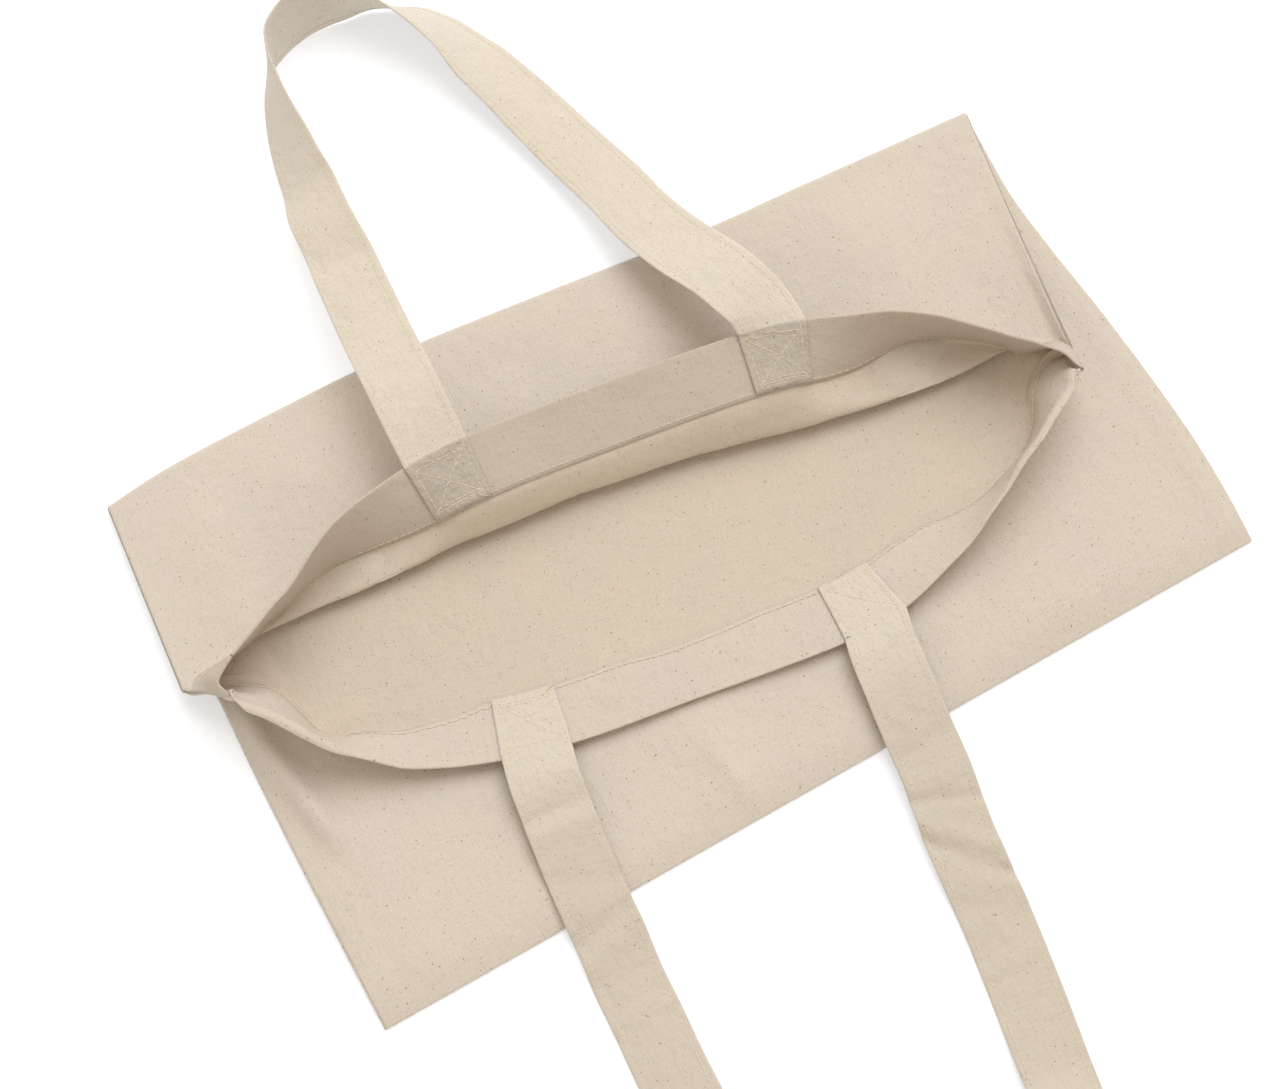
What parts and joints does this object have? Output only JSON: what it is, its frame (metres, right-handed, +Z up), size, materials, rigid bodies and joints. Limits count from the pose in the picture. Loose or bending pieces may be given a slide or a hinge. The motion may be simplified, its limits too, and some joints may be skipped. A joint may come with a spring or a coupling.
{
  "type": "cotton tote bag",
  "caption": "Unlined cotton tote bag with long strap handles, laid down and folded over at mid height, its hemmed mouth pulled open.",
  "frame": {"origin": "on the floor, below the middle of the whole outline, handles included", "axes": "+X along the bag's bottom edge, +Y from the bottom edge toward the fold, +Z up from the floor"},
  "size_m": [0.4306, 0.6174, 0.0415],
  "materials": {
    "cotton_cloth": "unbleached plain-weave calico with seed flecks",
    "cotton_strap": "unbleached calico strap, folded and stitched along both edges"
  },
  "bodies": {
    "root": {"bag_body": "cotton_cloth", "back_handle": "cotton_strap", "front_handle": "cotton_strap"}
  },
  "joints": []
}
